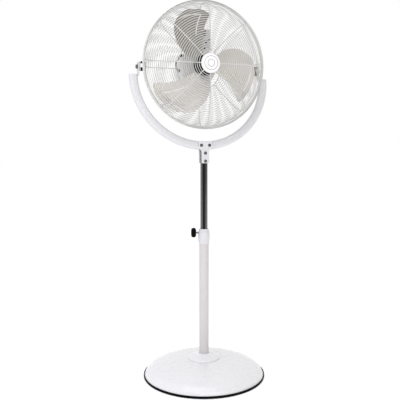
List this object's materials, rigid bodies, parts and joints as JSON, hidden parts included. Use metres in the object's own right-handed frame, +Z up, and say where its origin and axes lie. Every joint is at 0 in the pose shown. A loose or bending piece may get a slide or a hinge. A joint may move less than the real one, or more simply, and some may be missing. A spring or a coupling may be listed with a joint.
{
  "type": "pedestal fan",
  "caption": "Pedestal fan with a round weighted base, telescopic mast, C-shaped yoke and a tilting round wire-caged head with broad metal blades.",
  "frame": {"origin": "on the floor under the mast axis, at the middle of the base", "axes": "+Z up the mast, -Y the way the air is blown (front), +X towards the right of someone facing the front of the fan"},
  "size_m": [0.565, 0.48, 1.456],
  "materials": {
    "white_paint": "satin white powder coat",
    "tube_paint": "satin white powder coat on tube",
    "collar_plastic": "semi-gloss white moulding",
    "badge_plastic": "gloss white disc with plain rings",
    "guard_wire": "light grey-white coated wire",
    "grey_paint": "satin light grey enamel",
    "black_paint": "satin black",
    "edge_rubber": "matt black rubber",
    "lead_rubber": "matt black rubber",
    "black_plastic": "fine-grained black moulding",
    "dark_chrome": "dark bright-plated tube",
    "plain_steel": "zinc-plated steel",
    "dark_steel": "dark zinc-plated steel",
    "lamination_steel": "stacked lamination steel",
    "blade_aluminium": "rolled aluminium, brushed",
    "cast_iron": "as cast",
    "copper_wire": "enamelled copper winding",
    "brass": "turned brass"
  },
  "bodies": {
    "stand": {"base_cover": "white_paint", "base_edge_trim": "edge_rubber", "base_weight": "cast_iron", "base_hub": "white_paint", "outer_tube": "tube_paint", "tube_plug": "plain_steel", "base_tie_bolt": "plain_steel", "height_collar": "collar_plastic", "clamp_shoe": "brass"},
    "height_clamp": {"height_knob": "black_plastic", "height_stud": "plain_steel"},
    "mast_slide": {"guide_bush": "black_plastic"},
    "mast": {"inner_tube": "dark_chrome", "clamp_plate_front": "white_paint", "clamp_plate_rear": "white_paint", "yoke_tube": "white_paint", "clamp_screw_upper_left": "dark_steel", "clamp_screw_upper_right": "dark_steel", "clamp_screw_middle": "dark_steel", "clamp_screw_lower": "dark_steel", "yoke_end_cap_left": "collar_plastic", "pivot_tab_left": "white_paint", "pivot_bolt_left": "dark_steel", "yoke_end_cap_right": "collar_plastic", "pivot_tab_right": "white_paint", "pivot_bolt_right": "dark_steel"},
    "head": {"front_guard": "guard_wire", "rear_guard": "guard_wire", "guard_band": "guard_wire", "guard_badge": "badge_plastic", "motor_strap": "grey_paint", "strap_bolt_upper": "plain_steel", "strap_bolt_lower": "plain_steel", "motor_front_shell": "grey_paint", "motor_rear_shell": "grey_paint", "front_bearing": "plain_steel", "rear_bearing": "plain_steel", "stator_core": "lamination_steel", "stator_winding": "copper_wire", "run_capacitor": "black_plastic", "switch_body": "black_plastic", "cable_gland": "black_plastic", "motor_lead": "lead_rubber", "pivot_plate_left": "guard_wire", "pivot_clamp_left": "black_paint", "pivot_plate_right": "guard_wire", "pivot_clamp_right": "black_paint", "bracket_screw_left_upper": "dark_steel", "bracket_screw_left_lower": "dark_steel", "bracket_screw_right_upper": "dark_steel", "bracket_screw_right_lower": "dark_steel"},
    "rotor": {"motor_shaft": "plain_steel", "rotor_core": "lamination_steel", "fan_hub": "black_plastic", "hub_nut": "plain_steel", "blade_1": "blade_aluminium", "blade_2": "blade_aluminium", "blade_3": "blade_aluminium"},
    "speed_control": {"speed_knob": "black_plastic"}
  },
  "joints": [
    {"name": "height_knob_turn", "type": "hinge", "parent": "stand", "child": "height_clamp", "pos_m": [-0.03771, 0.01335, 0.57], "axis": [-0.9426, 0.3338, 0], "range_deg": [-360, 360]},
    {"name": "mast_height", "type": "slide", "parent": "stand", "child": "mast_slide", "axis": [0, 0, 1], "range_m": [-0.25, 0.12]},
    {"name": "mast_swivel", "type": "hinge", "parent": "mast_slide", "child": "mast", "pos_m": [0, 0, 0.57], "axis": [0, 0, 1], "range_deg": [-180, 180]},
    {"name": "head_tilt", "type": "hinge", "parent": "mast", "child": "head", "pos_m": [0, 0.049, 1.20547], "axis": [1, 0, 0], "range_deg": [-90, 90]},
    {"name": "impeller_spin", "type": "hinge", "parent": "head", "child": "rotor", "pos_m": [0, 0, 1.214], "axis": [0, 1, 0], "continuous": true},
    {"name": "speed_knob_turn", "type": "hinge", "parent": "head", "child": "speed_control", "pos_m": [0.044, 0.16, 1.214], "axis": [0, 1, 0], "range_deg": [0, 135]}
  ]
}
